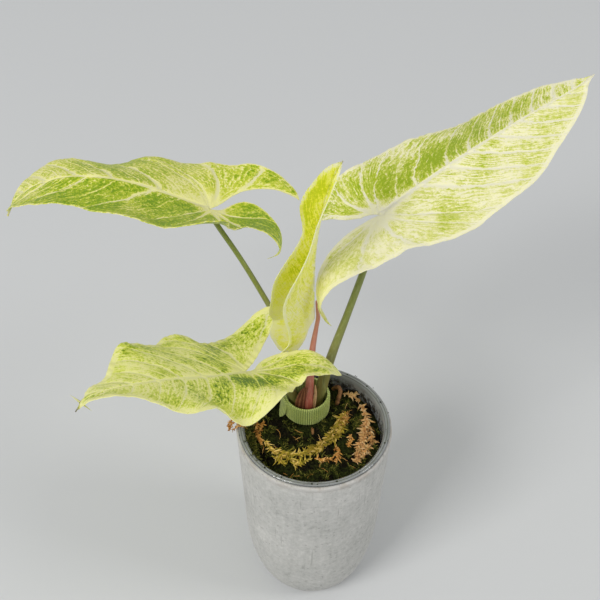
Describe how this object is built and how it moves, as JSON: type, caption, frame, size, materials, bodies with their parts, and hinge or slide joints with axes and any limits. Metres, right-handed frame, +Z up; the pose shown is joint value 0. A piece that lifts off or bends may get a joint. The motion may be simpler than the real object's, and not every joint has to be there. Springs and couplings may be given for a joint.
{
  "type": "potted plant",
  "caption": "Potted syngonium with open arrow-shaped leaves and a young folded one, tied stalks, clear inner pot, moss on the soil and a tall round cover pot.",
  "frame": {"origin": "middle of the flat foot under the cover pot", "axes": "+Z up through the pot's axis; -Y is the front, from where the picture is taken; the largest leaf points to +X and +Y"},
  "size_m": [0.2846, 0.1774, 0.2706],
  "materials": {
    "cover_pot": "matte, mottled, fine pits",
    "clear_plastic": "clear, glossy",
    "potting_mix": "coarse, dark, dull",
    "crown": "dull, fibrous",
    "green_stalk": "satin",
    "young_stalk": "satin",
    "green_blade": "satin, veined",
    "cream_blade": "satin, veined",
    "young_blade": "satin, veined",
    "plant_tie": "ribbed, dull",
    "brown_root": "dull bark",
    "dry_scale": "papery",
    "dry_moss": "feathery, dry",
    "golden_moss": "feathery, dry"
  },
  "bodies": {
    "root": {"cover_pot": "cover_pot", "inner_pot": "clear_plastic", "soil": "potting_mix", "crown": "crown", "root_loop": "brown_root", "plant_tie": "plant_tie", "petiole_right": "green_stalk", "petiole_left": "green_stalk", "petiole_front": "green_stalk", "petiole_young": "young_stalk", "leaf_right": "cream_blade", "leaf_left": "green_blade", "leaf_young": "young_blade", "leaf_front": "cream_blade", "sheath_brown": "brown_root", "sheath_dry": "dry_scale", "moss_tan_right": "dry_moss", "moss_tan_back": "dry_moss", "moss_orange_left": "dry_moss", "moss_gold_middle": "golden_moss", "moss_gold_left": "golden_moss"}
  },
  "joints": []
}
